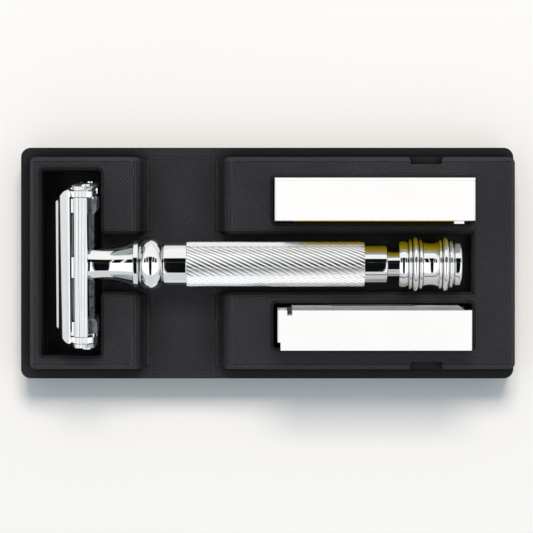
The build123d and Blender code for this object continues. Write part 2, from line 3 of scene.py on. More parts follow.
import bmesh
import bpy
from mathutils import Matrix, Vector


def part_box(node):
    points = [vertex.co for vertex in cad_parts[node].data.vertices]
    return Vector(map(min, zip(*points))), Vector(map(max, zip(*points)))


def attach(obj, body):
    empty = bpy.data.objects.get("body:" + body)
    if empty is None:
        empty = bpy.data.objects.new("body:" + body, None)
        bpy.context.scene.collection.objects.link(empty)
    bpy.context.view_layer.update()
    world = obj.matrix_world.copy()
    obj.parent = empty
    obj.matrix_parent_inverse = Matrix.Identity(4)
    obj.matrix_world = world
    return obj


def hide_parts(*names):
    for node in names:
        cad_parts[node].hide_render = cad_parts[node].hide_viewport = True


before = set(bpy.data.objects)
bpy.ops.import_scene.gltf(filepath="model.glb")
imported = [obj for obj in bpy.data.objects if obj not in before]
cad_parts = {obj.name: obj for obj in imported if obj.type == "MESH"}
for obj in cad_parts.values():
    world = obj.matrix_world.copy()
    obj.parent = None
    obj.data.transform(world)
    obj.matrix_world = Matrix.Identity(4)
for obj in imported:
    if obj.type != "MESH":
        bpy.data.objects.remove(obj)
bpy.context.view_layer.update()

# The case tray: the lower half of a travel case, printed in one piece in black PLA.
# The printer lays it as beads of melted plastic: outlines first, then diagonal rows that fill
# each level, so every flat shows rows, every edge a few beads that follow it, every slope steps.
bead_width = 0.79
outline_beads = 1.0
layer_height = 0.3
top_level = 18.0
top_chamfer = 1.05
tray_edge_break = 0.12
tray_half_length = 71.5
tray_half_width = 33.5
island_left = -68.5
island_half_width = 30.6
finger_gap_middle = -24.6
finger_gap_low_half = 9.0
finger_gap_high_half = 14.6
flat_enough = 0.985
flat_relief = 0.05
slope_relief = 0.2
# Painted shade in the tray's hollows: how far round it looks, and how hard it darkens the colour
painted_shade_reach = 10
painted_shade_power = 4.0
millimetre = 0.001


def linear(code):
    """An sRGB hex colour as the linear colour that a shader takes."""
    channels = [int(code[place:place + 2], 16) / 255 for place in (0, 2, 4)]
    return (*[c / 12.92 if c <= 0.04045 else ((c + 0.055) / 1.055) ** 2.4 for c in channels], 1.0)


def join(tree, node, links):
    """Sets a node's inputs: to a value, to an output, or to a node's first output."""
    for name, value in links.items():
        if isinstance(value, bpy.types.Node):
            value = value.outputs[0]
        if isinstance(value, bpy.types.NodeSocket):
            tree.links.new(value, node.inputs[name])
        else:
            node.inputs[name].default_value = value


def add(tree, kind, settings=None, links=None):
    """Adds a shader node with its settings and links."""
    made = tree.nodes.new(kind)
    for name, value in (settings or {}).items():
        setattr(made, name, value)
    join(tree, made, links or {})
    return made


def material(name, **sockets):
    """A material with its shader's uniform values, and the piece's own millimetres."""
    made = bpy.data.materials.new(name)
    made.use_nodes = True
    tree = made.node_tree
    shader = tree.nodes["Principled BSDF"]
    for socket, value in sockets.items():
        shader.inputs[socket.replace("_", " ")].default_value = value
    place = add(tree, "ShaderNodeTexCoord").outputs["Object"]
    scaled = add(
        tree, "ShaderNodeVectorMath", {"operation": "SCALE"},
        {"Vector": place, "Scale": 1 / millimetre},
    )
    return made, tree, shader, scaled.outputs[0]


# Printed PLA: a matt black, with a painted sheen along the crown of each bead and painted shade
# in the seams between beads, both put into the colour.
# Noise scales are per millimetre: the rows wander over 3 mm, the plastic is specked at 0.5 mm and
# tinted in patches of 20 mm.
pla, pla_tree, pla_shader, pla_mm = material("printed_pla", IOR=1.35)
pla_xyz = add(pla_tree, "ShaderNodeSeparateXYZ", None, {0: pla_mm}).outputs
pla_side = add(pla_tree, "ShaderNodeMath", {"operation": "ABSOLUTE"}, {0: pla_xyz[1]})
plan = add(pla_tree, "ShaderNodeCombineXYZ", None, {"X": pla_xyz[0], "Y": pla_side})


def outline_distance(boxes):
    """Distance to the nearest of some outlines in plan; each is a middle and its half sizes."""
    nearest = None
    for middle_x, middle_y, half_x, half_y in boxes:
        offset = add(
            pla_tree, "ShaderNodeVectorMath", {"operation": "SUBTRACT"},
            {0: plan, 1: (middle_x, middle_y, 0)},
        )
        folded = add(pla_tree, "ShaderNodeVectorMath", {"operation": "ABSOLUTE"}, {0: offset})
        past = add(
            pla_tree, "ShaderNodeVectorMath", {"operation": "SUBTRACT"},
            {0: folded, 1: (half_x, half_y, 0)},
        )
        parts = add(pla_tree, "ShaderNodeSeparateXYZ", None, {0: past}).outputs
        furthest = add(
            pla_tree, "ShaderNodeMath", {"operation": "MAXIMUM"}, {0: parts[0], 1: parts[1]}
        )
        distance = add(pla_tree, "ShaderNodeMath", {"operation": "ABSOLUTE"}, {0: furthest})
        nearest = distance if nearest is None else add(
            pla_tree, "ShaderNodeMath", {"operation": "MINIMUM"}, {0: nearest, 1: distance}
        )
    return nearest


# The pockets, each as the middle and the half sizes of its outline in plan
dispenser_pocket = (30.5, 18.05, 28.7, 6.45)
head_pocket = (-56.55, 0.0, 8.55, 26.7)
handle_channel = (5.0, 0.0, 53.9, 8.25)
far_away = 200.0


def widened(pocket):
    """A pocket's outline at the level of the islands' tops, where its edge is chamfered."""
    middle_x, middle_y, half_x, half_y = pocket
    return middle_x, middle_y, half_x + top_chamfer, half_y + top_chamfer


rim_outlines = outline_distance((
    (0.0, 0.0, tray_half_length, tray_half_width),
    (far_away + island_left, 0.0, far_away, island_half_width),
    (finger_gap_middle, 0.0, finger_gap_low_half, far_away),
    dispenser_pocket,
    head_pocket,
))
top_outlines = outline_distance((
    (0.0, 0.0, tray_half_length - top_chamfer, island_half_width - top_chamfer),
    (finger_gap_middle, 0.0, finger_gap_high_half, far_away),
    (far_away + island_left + top_chamfer, 0.0, far_away, far_away),
    widened(dispenser_pocket),
    widened(head_pocket),
    widened(handle_channel),
))
is_top = add(
    pla_tree, "ShaderNodeMapRange", None,
    {"Value": pla_xyz[2], "From Min": top_level - 0.3, "From Max": top_level - 0.1},
)
edge_distance = add(
    pla_tree, "ShaderNodeMix", None, {0: is_top, 2: rim_outlines, 3: top_outlines}
)
# The fill's rows lean one way on the islands' tops and the other way on the rim
lean = add(
    pla_tree, "ShaderNodeMapRange", None, {"Value": is_top, "To Min": -1.0, "To Max": 1.0}
)
diagonal = add(
    pla_tree, "ShaderNodeMath", {"operation": "MULTIPLY_ADD"},
    {0: pla_xyz[1], 1: lean, 2: pla_xyz[0]},
)
fill_row = add(
    pla_tree, "ShaderNodeMath", {"operation": "DIVIDE"}, {0: diagonal, 1: bead_width * sqrt(2)}
)
edge_row = add(
    pla_tree, "ShaderNodeMath", {"operation": "DIVIDE"}, {0: edge_distance, 1: bead_width}
)
by_edge = add(
    pla_tree, "ShaderNodeMath", {"operation": "LESS_THAN"}, {0: edge_row, 1: outline_beads}
)
flat_row = add(pla_tree, "ShaderNodeMix", None, {0: by_edge, 2: fill_row, 3: edge_row})
facing = add(
    pla_tree, "ShaderNodeSeparateXYZ", None,
    {0: add(pla_tree, "ShaderNodeNewGeometry").outputs["Normal"]},
).outputs[2]
upright = add(pla_tree, "ShaderNodeMath", {"operation": "ABSOLUTE"}, {0: facing})
is_flat = add(
    pla_tree, "ShaderNodeMath", {"operation": "GREATER_THAN"}, {0: upright, 1: flat_enough}
)
layer_row = add(
    pla_tree, "ShaderNodeMath", {"operation": "DIVIDE"}, {0: pla_xyz[2], 1: layer_height}
)
row = add(pla_tree, "ShaderNodeMix", None, {0: is_flat, 2: layer_row, 3: flat_row})
wander = add(
    pla_tree, "ShaderNodeTexNoise", None, {"Vector": pla_mm, "Scale": 0.35, "Detail": 2.0}
)
bead = add(pla_tree, "ShaderNodeMath", {"operation": "ADD"}, {0: row, 1: wander})
bead = add(pla_tree, "ShaderNodeMath", {"operation": "MULTIPLY"}, {0: bead, 1: pi})
for step in ("SINE", "ABSOLUTE"):
    bead = add(pla_tree, "ShaderNodeMath", {"operation": step}, {0: bead})
speckle = add(
    pla_tree, "ShaderNodeTexNoise", None, {"Vector": pla_mm, "Scale": 2.2, "Detail": 4.0}
)
patches = add(
    pla_tree, "ShaderNodeTexNoise", None, {"Vector": pla_mm, "Scale": 0.05, "Detail": 2.0}
)
# Each tint comes in by a pattern: the part of it that counts, and the share that it covers
pla_colour = linear("0f0f11")
for pattern, start, end, share, tint in (
    # Painted light: the bead tint lightens each crown as a painted sheen and leaves the seams
    # dark as painted shade
    (bead, 0.2, 0.9, 1.0, "302f34"),
    (speckle, 0.35, 0.75, 0.35, "3a393f"),
    (patches, 0.3, 0.7, 0.35, "1b1c1f"),
):
    covered = add(
        pla_tree, "ShaderNodeMapRange", {"interpolation_type": "SMOOTHSTEP"},
        {"Value": pattern, "From Min": start, "From Max": end, "To Max": share},
    )
    pla_colour = add(
        pla_tree, "ShaderNodeMix", {"data_type": "RGBA"},
        {0: covered, 6: pla_colour, 7: linear(tint)},
    ).outputs[2]
# Painted shade: the colour goes to black in hollows, pockets and beside walls, by how closed in
# each point of the tray is
painted_shade_openness = add(
    pla_tree, "ShaderNodeAmbientOcclusion", {"samples": 8, "only_local": True},
    {"Distance": painted_shade_reach * millimetre},
).outputs["AO"]
clear_of_painted_shade = add(
    pla_tree, "ShaderNodeMath", {"operation": "POWER"}, {0: painted_shade_openness, 1: painted_shade_power}
)
join(pla_tree, pla_shader, {
    "Base Color": add(
        pla_tree, "ShaderNodeMix", {"data_type": "RGBA"},
        {0: clear_of_painted_shade, 6: linear("000000"), 7: pla_colour},
    ).outputs[2],
    "Roughness": add(
        pla_tree, "ShaderNodeMapRange", {"interpolation_type": "SMOOTHSTEP"},
        {"Value": speckle, "From Min": 0.3, "From Max": 0.7, "To Min": 0.38, "To Max": 0.52},
    ),
    "Normal": add(pla_tree, "ShaderNodeBump", None, {
        "Strength": 1.0,
        "Distance": add(
            pla_tree, "ShaderNodeMapRange", None,
            {"Value": is_flat, "To Min": slope_relief * millimetre,
             "To Max": flat_relief * millimetre},
        ),
        "Height": bead,
    }),
})


def soften(piece, edge_mm):
    """Takes the sharpness off a piece's edges."""
    weld = piece.modifiers.new("weld", "WELD")
    weld.merge_threshold = 1e-6
    planes = piece.modifiers.new("planes", "DECIMATE")
    planes.decimate_type = "DISSOLVE"
    planes.angle_limit = radians(0.5)
    bevel = piece.modifiers.new("edges", "BEVEL")
    bevel.width = edge_mm / 1000
    bevel.segments = 2
    bevel.limit_method = "ANGLE"
    bevel.angle_limit = radians(35)
    bevel.harden_normals = True


def dress(name, finish, edge_mm=0.0):
    """Gives a CAD node its material, and takes the sharpness off its edges."""
    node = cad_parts[name]
    for slot in node.material_slots:
        slot.material = finish
    if edge_mm:
        soften(node, edge_mm)


dress("case_tray", pla, tray_edge_break)

# The razor's neck: turned brass, chromed, waisted below the head and flared to a plain band.
# It is bored for the draw rod and slotted across for the lift bar. The whole razor lies on one
# axis, rolled a little in its channel, and all its pieces are made along that axis.
razor_roll = radians(5.0)
razor_y = -0.3
razor_z = 20.55
handle_bore = 3.3
cavity = -54.2
neck_top = -50.78
neck_length = 13.94
neck_waist = 5.0
neck_band = 1.5
neck_steps = 30
waist_radius = 4.75
neck_top_radius = 5.2
flare_radius = 6.6
flare_curve = 1.8
band_radius = 6.95
neck_end = neck_top + neck_length
lift_bar_left = -51.0
lift_bar_thickness = 1.4
lift_slot_play = 0.2
lift_slot_half_width = 6.0
lift_slot_half_height = 2.7
end_ring_radius = 4.0
longest_arc_share = 0.48
sharp_angle = radians(38)


def seat(x, across, up):
    """A point of the razor's own frame, in millimetres, as a place in the case, in metres."""
    return Vector((
        x, razor_y + across * cos(razor_roll) - up * sin(razor_roll),
        razor_z + across * sin(razor_roll) + up * cos(razor_roll),
    )) / 1000


def rounded(outline, steps=4):
    """An open outline of (x, y, radius) points, with an arc of that radius at each corner."""
    smooth = []
    for index, (x, y, radius) in enumerate(outline):
        if not radius:
            smooth.append((x, y))
            continue
        here = Vector((x, y))
        back = Vector(outline[index - 1][:2]) - here
        ahead = Vector(outline[(index + 1) % len(outline)][:2]) - here
        half = back.angle(ahead) / 2
        longest = longest_arc_share * min(back.length, ahead.length)
        reach = min(radius / tan(half), longest)
        arm = reach * tan(half)
        centre = here + (back.normalized() + ahead.normalized()).normalized() * (arm / sin(half))
        start = here + back.normalized() * reach - centre
        end = here + ahead.normalized() * reach - centre
        for step in range(steps + 1):
            smooth.append(tuple(centre + start.lerp(end, step / steps).normalized() * arm))
    return smooth


def finish_piece(name, made, surface, body, slot, *stands_for):
    """Turns mesh data into a piece of the scene that rides on a body."""
    bmesh.ops.recalc_face_normals(made, faces=made.faces)
    data = bpy.data.meshes.new(name)
    made.to_mesh(data)
    made.free()
    data.polygons.foreach_set("use_smooth", [True] * len(data.polygons))
    data.set_sharp_from_angle(angle=sharp_angle)
    piece = bpy.data.objects.new(name, data)
    bpy.context.scene.collection.objects.link(piece)
    data.materials.append(surface)
    if body:
        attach(piece, body)
    if stands_for:
        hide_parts(*stands_for)
    return piece


def turned(name, profile, surface, body, slot, *stands_for, facets=160):
    """A piece from the lathe: a closed profile of (station, radius) about the razor's axis."""
    made = bmesh.new()
    rings = []
    for x, radius in profile:
        turns = [2 * pi * step / facets for step in range(facets)] if radius else [0.0]
        rings.append([
            made.verts.new(seat(x, radius * sin(turn), radius * cos(turn))) for turn in turns
        ])
    for first, second in zip(rings, rings[1:] + rings[:1]):
        for step in range(facets):
            after = step + 1
            corners = dict.fromkeys([
                first[step % len(first)], first[after % len(first)],
                second[after % len(second)], second[step % len(second)],
            ])
            if len(corners) > 2:
                made.faces.new(list(corners))
    return finish_piece(name, made, surface, body, slot, *stands_for)


def vary(tree, shader, tints, gloss=None, relief=None):
    """Varies a finish over its surface by patterns that go from 0 to 1.

    tints is a pattern and its two colours; gloss a pattern, the part of it that counts, and the
    roughness at both ends; relief a pattern, its depth in millimetres, and its strength.
    """
    pattern, low, high = tints
    links = {"Base Color": add(
        tree, "ShaderNodeMix", {"data_type": "RGBA"},
        {0: pattern, 6: linear(low), 7: linear(high)},
    ).outputs[2]}
    if gloss:
        pattern, start, end, smoothest, roughest = gloss
        links["Roughness"] = add(
            tree, "ShaderNodeMapRange", {"interpolation_type": "SMOOTHSTEP"},
            {"Value": pattern, "From Min": start, "From Max": end,
             "To Min": smoothest, "To Max": roughest},
        )
    if relief:
        pattern, depth_mm, strength = relief
        links["Normal"] = add(
            tree, "ShaderNodeBump", None,
            {"Strength": strength, "Distance": depth_mm * millimetre, "Height": pattern},
        )
    join(tree, shader, links)


# Chrome plate: a bright mirror, slightly blue, with faint wiping haze in clouds of 3 mm. Its
# scratches run along the razor and are drawn 0.1 mm wide, coarser than real, so that they show
chrome, chrome_tree, chrome_shader, chrome_mm = material("chrome_plate", Metallic=1.0)
haze = add(
    chrome_tree, "ShaderNodeTexNoise", None, {"Vector": chrome_mm, "Scale": 0.3, "Detail": 3.0}
)
chrome_run = add(
    chrome_tree, "ShaderNodeVectorMath", {"operation": "MULTIPLY"},
    {0: chrome_mm, 1: (0.2, 4.0, 4.0)},
)
scratches = add(
    chrome_tree, "ShaderNodeTexNoise", None, {"Vector": chrome_run, "Scale": 2.5, "Detail": 2.0}
)
vary(
    chrome_tree, chrome_shader, tints=(haze, "dde0e3", "e8e9ea"),
    gloss=(haze, 0.35, 0.7, 0.03, 0.075), relief=(scratches, 0.002, 0.35),
)


def neck_radius(station):
    """Radius of the neck, that far behind the guard bars: a waist, then a flare."""
    if station < neck_waist:
        return waist_radius + (neck_top_radius - waist_radius) * (1 - station / neck_waist) ** 2
    share = (station - neck_waist) / (neck_length - neck_band - neck_waist)
    return waist_radius + (flare_radius - waist_radius) * share**flare_curve


stations = [step * (neck_length - neck_band) / neck_steps for step in range(neck_steps + 1)]
neck = turned(
    "turned_neck",
    rounded([
        (cavity, handle_bore, 0), (cavity, neck_top_radius, 0.1),
        *[(neck_top + station, neck_radius(station), 0) for station in stations],
        (neck_end - neck_band + 0.05, band_radius, 0.2), (neck_end, band_radius, 0.25),
        (neck_end, end_ring_radius, 0), (neck_end, handle_bore, 0),
    ]),
    chrome, "razor", "chrome", "neck_tube",
)


def carve(piece, tool):
    """Takes the shape of a tool, a closed mesh, out of a piece."""
    bmesh.ops.recalc_face_normals(tool, faces=tool.faces)
    data = bpy.data.meshes.new("cutter")
    tool.to_mesh(data)
    tool.free()
    cutter = bpy.data.objects.new("cutter", data)
    bpy.context.scene.collection.objects.link(cutter)
    boolean = piece.modifiers.new("cut", "BOOLEAN")
    boolean.object = cutter
    boolean.solver = "EXACT"
    bpy.context.view_layer.update()
    shaped = bpy.data.meshes.new_from_object(
        piece.evaluated_get(bpy.context.evaluated_depsgraph_get())
    )
    piece.modifiers.clear()
    piece.data = shaped
    shaped.polygons.foreach_set("use_smooth", [True] * len(shaped.polygons))
    shaped.set_sharp_from_angle(angle=sharp_angle)
    bpy.data.objects.remove(cutter)


def cut(piece, *boxes, place=seat):
    """Cuts boxes, each given by two corners in the razor's own frame, out of a piece."""
    tool = bmesh.new()
    for (left, near, low), (right, far, high) in boxes:
        for vert in bmesh.ops.create_cube(tool, size=1.0)["verts"]:
            vert.co = place(
                left + (vert.co.x + 0.5) * (right - left),
                near + (vert.co.y + 0.5) * (far - near),
                low + (vert.co.z + 0.5) * (high - low),
            )
    carve(piece, tool)


cut(neck, (
    (cavity - 1, -lift_slot_half_width, -lift_slot_half_height),
    (lift_bar_left + lift_bar_thickness + lift_slot_play, lift_slot_half_width,
     lift_slot_half_height),
))

# The head's base: a bed stamped and chromed, with a guard bar of round beads along each side,
# long drains behind the bars, a rib that holds the blade, and pads under its edges. Tongues carry
# the end plates, and the beads go on over the edges of plates and doors.
bed_top = -55.4
guard_top = -54.55
guard_inner = 10.2
guard_crest = 12.17
bead_pitch = 0.8
bead_count = 4
bead_rise = 0.25
bead_start = neck_top - bead_count * bead_pitch
notch_pitch = 0.65
notch_depth = 0.07
base_half_length = 19.75
drain_inner = 7.2
drain_outer = 11.3
drain_start = 3.2
drain_end = 14.95
tongue_depth = 2.6
tongue_half_width = 4.5
tongue_span = (19.5, 21.85)
rib_height = 1.0
rib_half_width = 0.7
rib_half_length = 16.0
pad_spans = (("middle", -2.95, 2.95), ("far", 15.5, 19.4), ("near", -19.4, -15.5))
bed_overlap = 0.5
slope_start = (bed_top, guard_inner - 0.3)
slope_end = (guard_top - 0.15, guard_crest - 1.2)
guard_corner = (guard_top, guard_crest - 0.95)
guard_shoulder = 0.85
guard_rounding = 0.4
pad_back = bed_top + 0.04
pad_front = guard_top + 0.1
pad_inner = 9.0
plate_bead_span = (21.8, 22.9)
plate_bead_sink = 0.35
cheek_bead_span = (19.9, 21.65)
cheek_bead_sink = 0.19
bead_end_inner = guard_inner + 0.4


def bead_row(start, count, pitch, crest, rise, steps=8):
    """The outline of a row of round beads, as points of (station, height)."""
    radius = ((pitch / 2) ** 2 + rise**2) / (2 * rise)
    return [
        (start + pitch * (bead + step / steps),
         crest - radius + sqrt(radius**2 - (pitch * (step / steps - 0.5)) ** 2))
        for bead in range(count) for step in range(steps + (bead == count - 1))
    ]


def bar(made, outline, stops, level=1, notched=False):
    """A bar of one outline across the razor; every other row of a notched one dips a little."""
    rows = []
    for number, stop in enumerate(stops):
        dip = notch_depth if notched and number % 2 else 0.0
        rows.append([
            made.verts.new(seat(
                x, stop,
                level * (up - dip if bead_start < x < bead_start + bead_pitch else up),
            ))
            for x, up in outline
        ])
    count = len(outline)
    for first, second in zip(rows, rows[1:]):
        for index in range(count):
            after = (index + 1) % count
            made.faces.new((first[index], first[after], second[after], second[index]))
    made.faces.new(rows[0])
    made.faces.new(rows[-1])


beads = bead_row(bead_start, bead_count, bead_pitch, guard_crest, bead_rise)
guard_face = rounded([
    (guard_top, guard_inner, 0), (guard_top, guard_crest - guard_shoulder, guard_rounding),
    (bead_start, beads[0][1], 0),
], 6)[:-1] + beads
bed_section = [
    (cavity, -bed_overlap), (bed_top, -bed_overlap), slope_start, slope_end, guard_corner,
    *guard_face[1:], (neck_top, guard_inner), (cavity, guard_inner),
]
notches = round(2 * base_half_length / notch_pitch)
base_stops = [
    base_half_length * (number / notches - 1) for number in range(2 * notches + 1)
]
base_made = bmesh.new()
for level in (-1, 1):
    bar(base_made, bed_section, base_stops, level, notched=True)
base = finish_piece("beaded_base", base_made, chrome, "razor", "chrome", "head_base")
cut(base, *[
    ((bed_top - 1, min(side * drain_start, side * drain_end),
      min(level * drain_inner, level * drain_outer)),
     (cavity + 0.1, max(side * drain_start, side * drain_end),
      max(level * drain_inner, level * drain_outer)))
    for side in (-1, 1) for level in (-1, 1)
])
for name, left, right, half_width, near, far in (
    ("far_tongue", bed_top, bed_top + tongue_depth, tongue_half_width, *tongue_span),
    ("near_tongue", bed_top, bed_top + tongue_depth, tongue_half_width,
     -tongue_span[1], -tongue_span[0]),
    ("blade_rib", bed_top - rib_height, bed_top + 0.1, rib_half_width,
     -rib_half_length, rib_half_length),
):
    block = bmesh.new()
    bar(block, [(left, -half_width), (right, -half_width), (right, half_width),
                (left, half_width)], (near, far))
    finish_piece(name, block, chrome, "razor", "chrome")
pad_outline = rounded([
    (pad_back, pad_inner, 0), (pad_back, 11.1, 0.35), (guard_top - 0.1, 11.45, 0.3),
    (pad_front, 10.4, 0), (pad_front, pad_inner, 0),
], 6)
for place, near, far in pad_spans:
    for level, edge_name in ((1, "upper"), (-1, "lower")):
        pad = bmesh.new()
        bar(pad, pad_outline, (near, far), level)
        finish_piece(f"{place}_{edge_name}_pad", pad, chrome, "razor", "chrome")


def bead_end(name, body, level, side, span, sink):
    """A short length of the guard bar's beads, on a piece beyond the end of the base."""
    outline = [(guard_top + 0.2, bead_end_inner), *guard_face[1:], (neck_top, bead_end_inner)]
    made = bmesh.new()
    bar(made, [(x, up - sink) for x, up in outline], [side * stop for stop in span], level)
    finish_piece(name, made, chrome, body, "chrome")


for side, place in ((1, "far"), (-1, "near")):
    for level, edge_name in ((1, "upper"), (-1, "lower")):
        bead_end(
            f"{place}_{edge_name}_plate_beads", "razor", level, side,
            plate_bead_span, plate_bead_sink,
        )
        bead_end(
            f"{place}_{edge_name}_cheek_beads", f"{edge_name}_door", level, side,
            cheek_bead_span, cheek_bead_sink,
        )

# The doors: two curved halves of the cap, pressed and chromed. Each has a raised lip at the seam,
# an outer edge rolled in over the blade, corners rounded off, and a cheek at each end, which
# turns on a hinge pin and is pushed by a lift pin.
door_left = -63.0
door_half_length = 24.0
door_half_height = 14.0
lip_left = -60.52
door_corner = [
    (-61.5, 17.4), (-60.3, 18.2), (-59.4, 19.2), (-58.8, 20.0), (-58.2, 20.7), (-57.6, 21.3),
    (-56.9, 21.7), (-56.0, 21.9), (-56.0, 24.0), (-62.5, 24.0), (-62.5, 17.4),
]
door_edge_break = 0.06
roll_radius = 1.3
roll_middle = (-55.45, 9.02)
roll_start = 40
roll_sweep = 33
roll_steps = 6
roll_outside = [(-55.2, 10.3), (-55.2, 12.5), (-57.6, 12.5), (-57.6, 9.3)]
roll_edge = [
    (roll_middle[0] - roll_radius * cos(turn), roll_middle[1] + roll_radius * sin(turn))
    for turn in [
        radians(roll_start + roll_sweep * step / roll_steps) for step in range(roll_steps + 1)
    ]
] + roll_outside


def copy_of(name, source):
    """A copy of a CAD node as an object of its own, with its faces joined up."""
    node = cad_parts[source]
    piece = bpy.data.objects.new(name, node.data.copy())
    piece.matrix_world = node.matrix_world.copy()
    bpy.context.scene.collection.objects.link(piece)
    joined = bmesh.new()
    joined.from_mesh(piece.data)
    bmesh.ops.remove_doubles(joined, verts=joined.verts, dist=1e-6)
    joined.to_mesh(piece.data)
    joined.free()
    return piece


def settle(piece, surface, edge_mm, body, source):
    """Gives a reworked copy its surface, rounded edges and place in the assembly."""
    piece.data.materials.clear()
    piece.data.materials.append(surface)
    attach(piece, body)
    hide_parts(source)
    soften(piece, edge_mm)


def prism(points, shift):
    """A closed solid from an outline in the razor's own frame, moved along by a shift."""
    solid = bmesh.new()
    first = [solid.verts.new(seat(*point)) for point in points]
    second = [
        solid.verts.new(seat(*[place + move for place, move in zip(point, shift)]))
        for point in points
    ]
    for index in range(len(points)):
        after = (index + 1) % len(points)
        solid.faces.new((first[index], first[after], second[after], second[index]))
    solid.faces.new(first)
    solid.faces.new(second)
    return solid


for name, source, level in (
    ("rolled_top_door", "top_door", 1), ("rolled_bottom_door", "bottom_door", -1)
):
    door = copy_of(name, source)
    cut(door, (
        (door_left, -door_half_length, -door_half_height),
        (lip_left, door_half_length, door_half_height),
    ))
    carve(door, prism(
        [(x, -door_half_length, level * up) for x, up in roll_edge], (0, 2 * door_half_length, 0)
    ))
    for side in (-1, 1):
        carve(door, prism(
            [(x, side * across, -door_half_height) for x, across in door_corner],
            (0, 0, 2 * door_half_height),
        ))
    settle(
        door, chrome, door_edge_break, "upper_door" if level > 0 else "lower_door",
        source,
    )

# The blade: thin stainless steel, ground to an edge along both sides, so that a bright bevel
# borders the duller middle.

# Ground steel: a grey sheen, drawn out along the blade in grinding lines 2 mm long and 0.1 mm
# wide, coarser than real, so that they show
steel, steel_tree, steel_shader, steel_mm = material("ground_steel", Metallic=1.0, Roughness=0.28)
steel_run = add(
    steel_tree, "ShaderNodeVectorMath", {"operation": "MULTIPLY"},
    {0: steel_mm, 1: (6.0, 0.25, 6.0)},
)
grinding = add(
    steel_tree, "ShaderNodeTexNoise", None, {"Vector": steel_run, "Scale": 2.0, "Detail": 3.0}
)
vary(
    steel_tree, steel_shader, tints=(grinding, "a9adb1", "d3d6d9"), relief=(grinding, 0.006, 0.5)
)
dress("razor_blade", steel)

# The lift bar: a plated bar with an ear at each end, whose pins push the doors. It runs in the
# neck's slot. The end plates are pressed and plated as it is, and hold the doors' hinge pins.
bar_edge_break = 0.3
plate_edge_break = 0.06

# Satin nickel plate: a soft grey, clouded at about 1 mm, too dull to show a clear reflection
satin, satin_tree, satin_shader, satin_mm = material("satin_nickel_plate", Metallic=1.0)
satin_cloud = add(
    satin_tree, "ShaderNodeTexNoise", None, {"Vector": satin_mm, "Scale": 0.9, "Detail": 4.0}
)
vary(
    satin_tree, satin_shader, tints=(satin_cloud, "959da1", "bfc5c8"),
    gloss=(satin_cloud, 0.3, 0.7, 0.26, 0.36), relief=(satin_cloud, 0.01, 0.3),
)
dress("lift_bar", satin, bar_edge_break)
dress("lift_pins", chrome)
for name in ("far_end_plate", "near_end_plate"):
    dress(name, satin, plate_edge_break)
dress("hinge_pins", chrome)

# The rivet heads: the ends of the hinge pins, spread flat on the outside of the end plates
# with a punch, then chromed with the rest of the head.
hinge_station = -51.2
hinge_level = 9.4
plate_face = 22.88
rivet_facets = 32
rivet_radius = 1.35
rivet_rim = 0.45
rivet_height = 0.62
rivet_flat_radius = 0.9
rivet_outline = rounded([
    (0.0, 0.0, 0), (0.0, rivet_radius, 0), (rivet_rim, rivet_radius, 0.12),
    (rivet_height, rivet_flat_radius, 0.2), (rivet_height, 0.0, 0),
])
for side, place in ((1, "far"), (-1, "near")):
    for level, edge_name in ((1, "upper"), (-1, "lower")):
        head = bmesh.new()
        rings = [
            [head.verts.new(seat(
                hinge_station + radius * cos(2 * pi * step / rivet_facets),
                side * (plate_face + rise),
                level * hinge_level + radius * sin(2 * pi * step / rivet_facets),
            )) for step in range(rivet_facets)]
            for rise, radius in rivet_outline if radius
        ]
        for first, second in zip(rings, rings[1:]):
            for step in range(rivet_facets):
                after = (step + 1) % rivet_facets
                head.faces.new((first[step], first[after], second[after], second[step]))
        head.faces.new(rings[0])
        head.faces.new(rings[-1])
        finish_piece(f"{place}_{edge_name}_rivet", head, chrome, "razor", "chrome")

# The draw rod and what is fixed on it: bare steel. The rod pulls and pushes the lift bar, and
# is kept in it by a clip and in the knob by a thrust collar and a nut.

# Drawn steel: a plain grey with lines along its length, 5 mm long and 0.1 mm wide, from the die
drawn, drawn_tree, drawn_shader, drawn_mm = material("drawn_steel", Metallic=1.0)
drawn_run = add(
    drawn_tree, "ShaderNodeVectorMath", {"operation": "MULTIPLY"},
    {0: drawn_mm, 1: (0.1, 5.0, 5.0)},
)
die_lines = add(
    drawn_tree, "ShaderNodeTexNoise", None, {"Vector": drawn_run, "Scale": 2.0, "Detail": 3.0}
)
vary(
    drawn_tree, drawn_shader, tints=(die_lines, "8f9296", "c2c5c8"),
    gloss=(die_lines, 0.3, 0.7, 0.22, 0.4),
)
for name in ("draw_rod", "rod_clip", "thrust_collar", "rod_nut"):
    dress(name, drawn)

# The guide bush: turned brass, left bare, pressed into the bore behind the neck, where it
# guides the rod.

# Turned brass: a warm yellow with rings round it from the lathe's feed, some 0.2 mm apart
brass, brass_tree, brass_shader, brass_mm = material("turned_brass", Metallic=1.0, Roughness=0.3)
feed_rings = add(
    brass_tree, "ShaderNodeTexWave", {"bands_direction": "X"},
    {"Vector": brass_mm, "Scale": 1.5, "Distortion": 0.4, "Detail": 2.0},
).outputs["Fac"]
vary(
    brass_tree, brass_shader, tints=(feed_rings, "b08d43", "d2b06a"),
    relief=(feed_rings, 0.01, 0.5),
)
dress("guide_bush", brass)

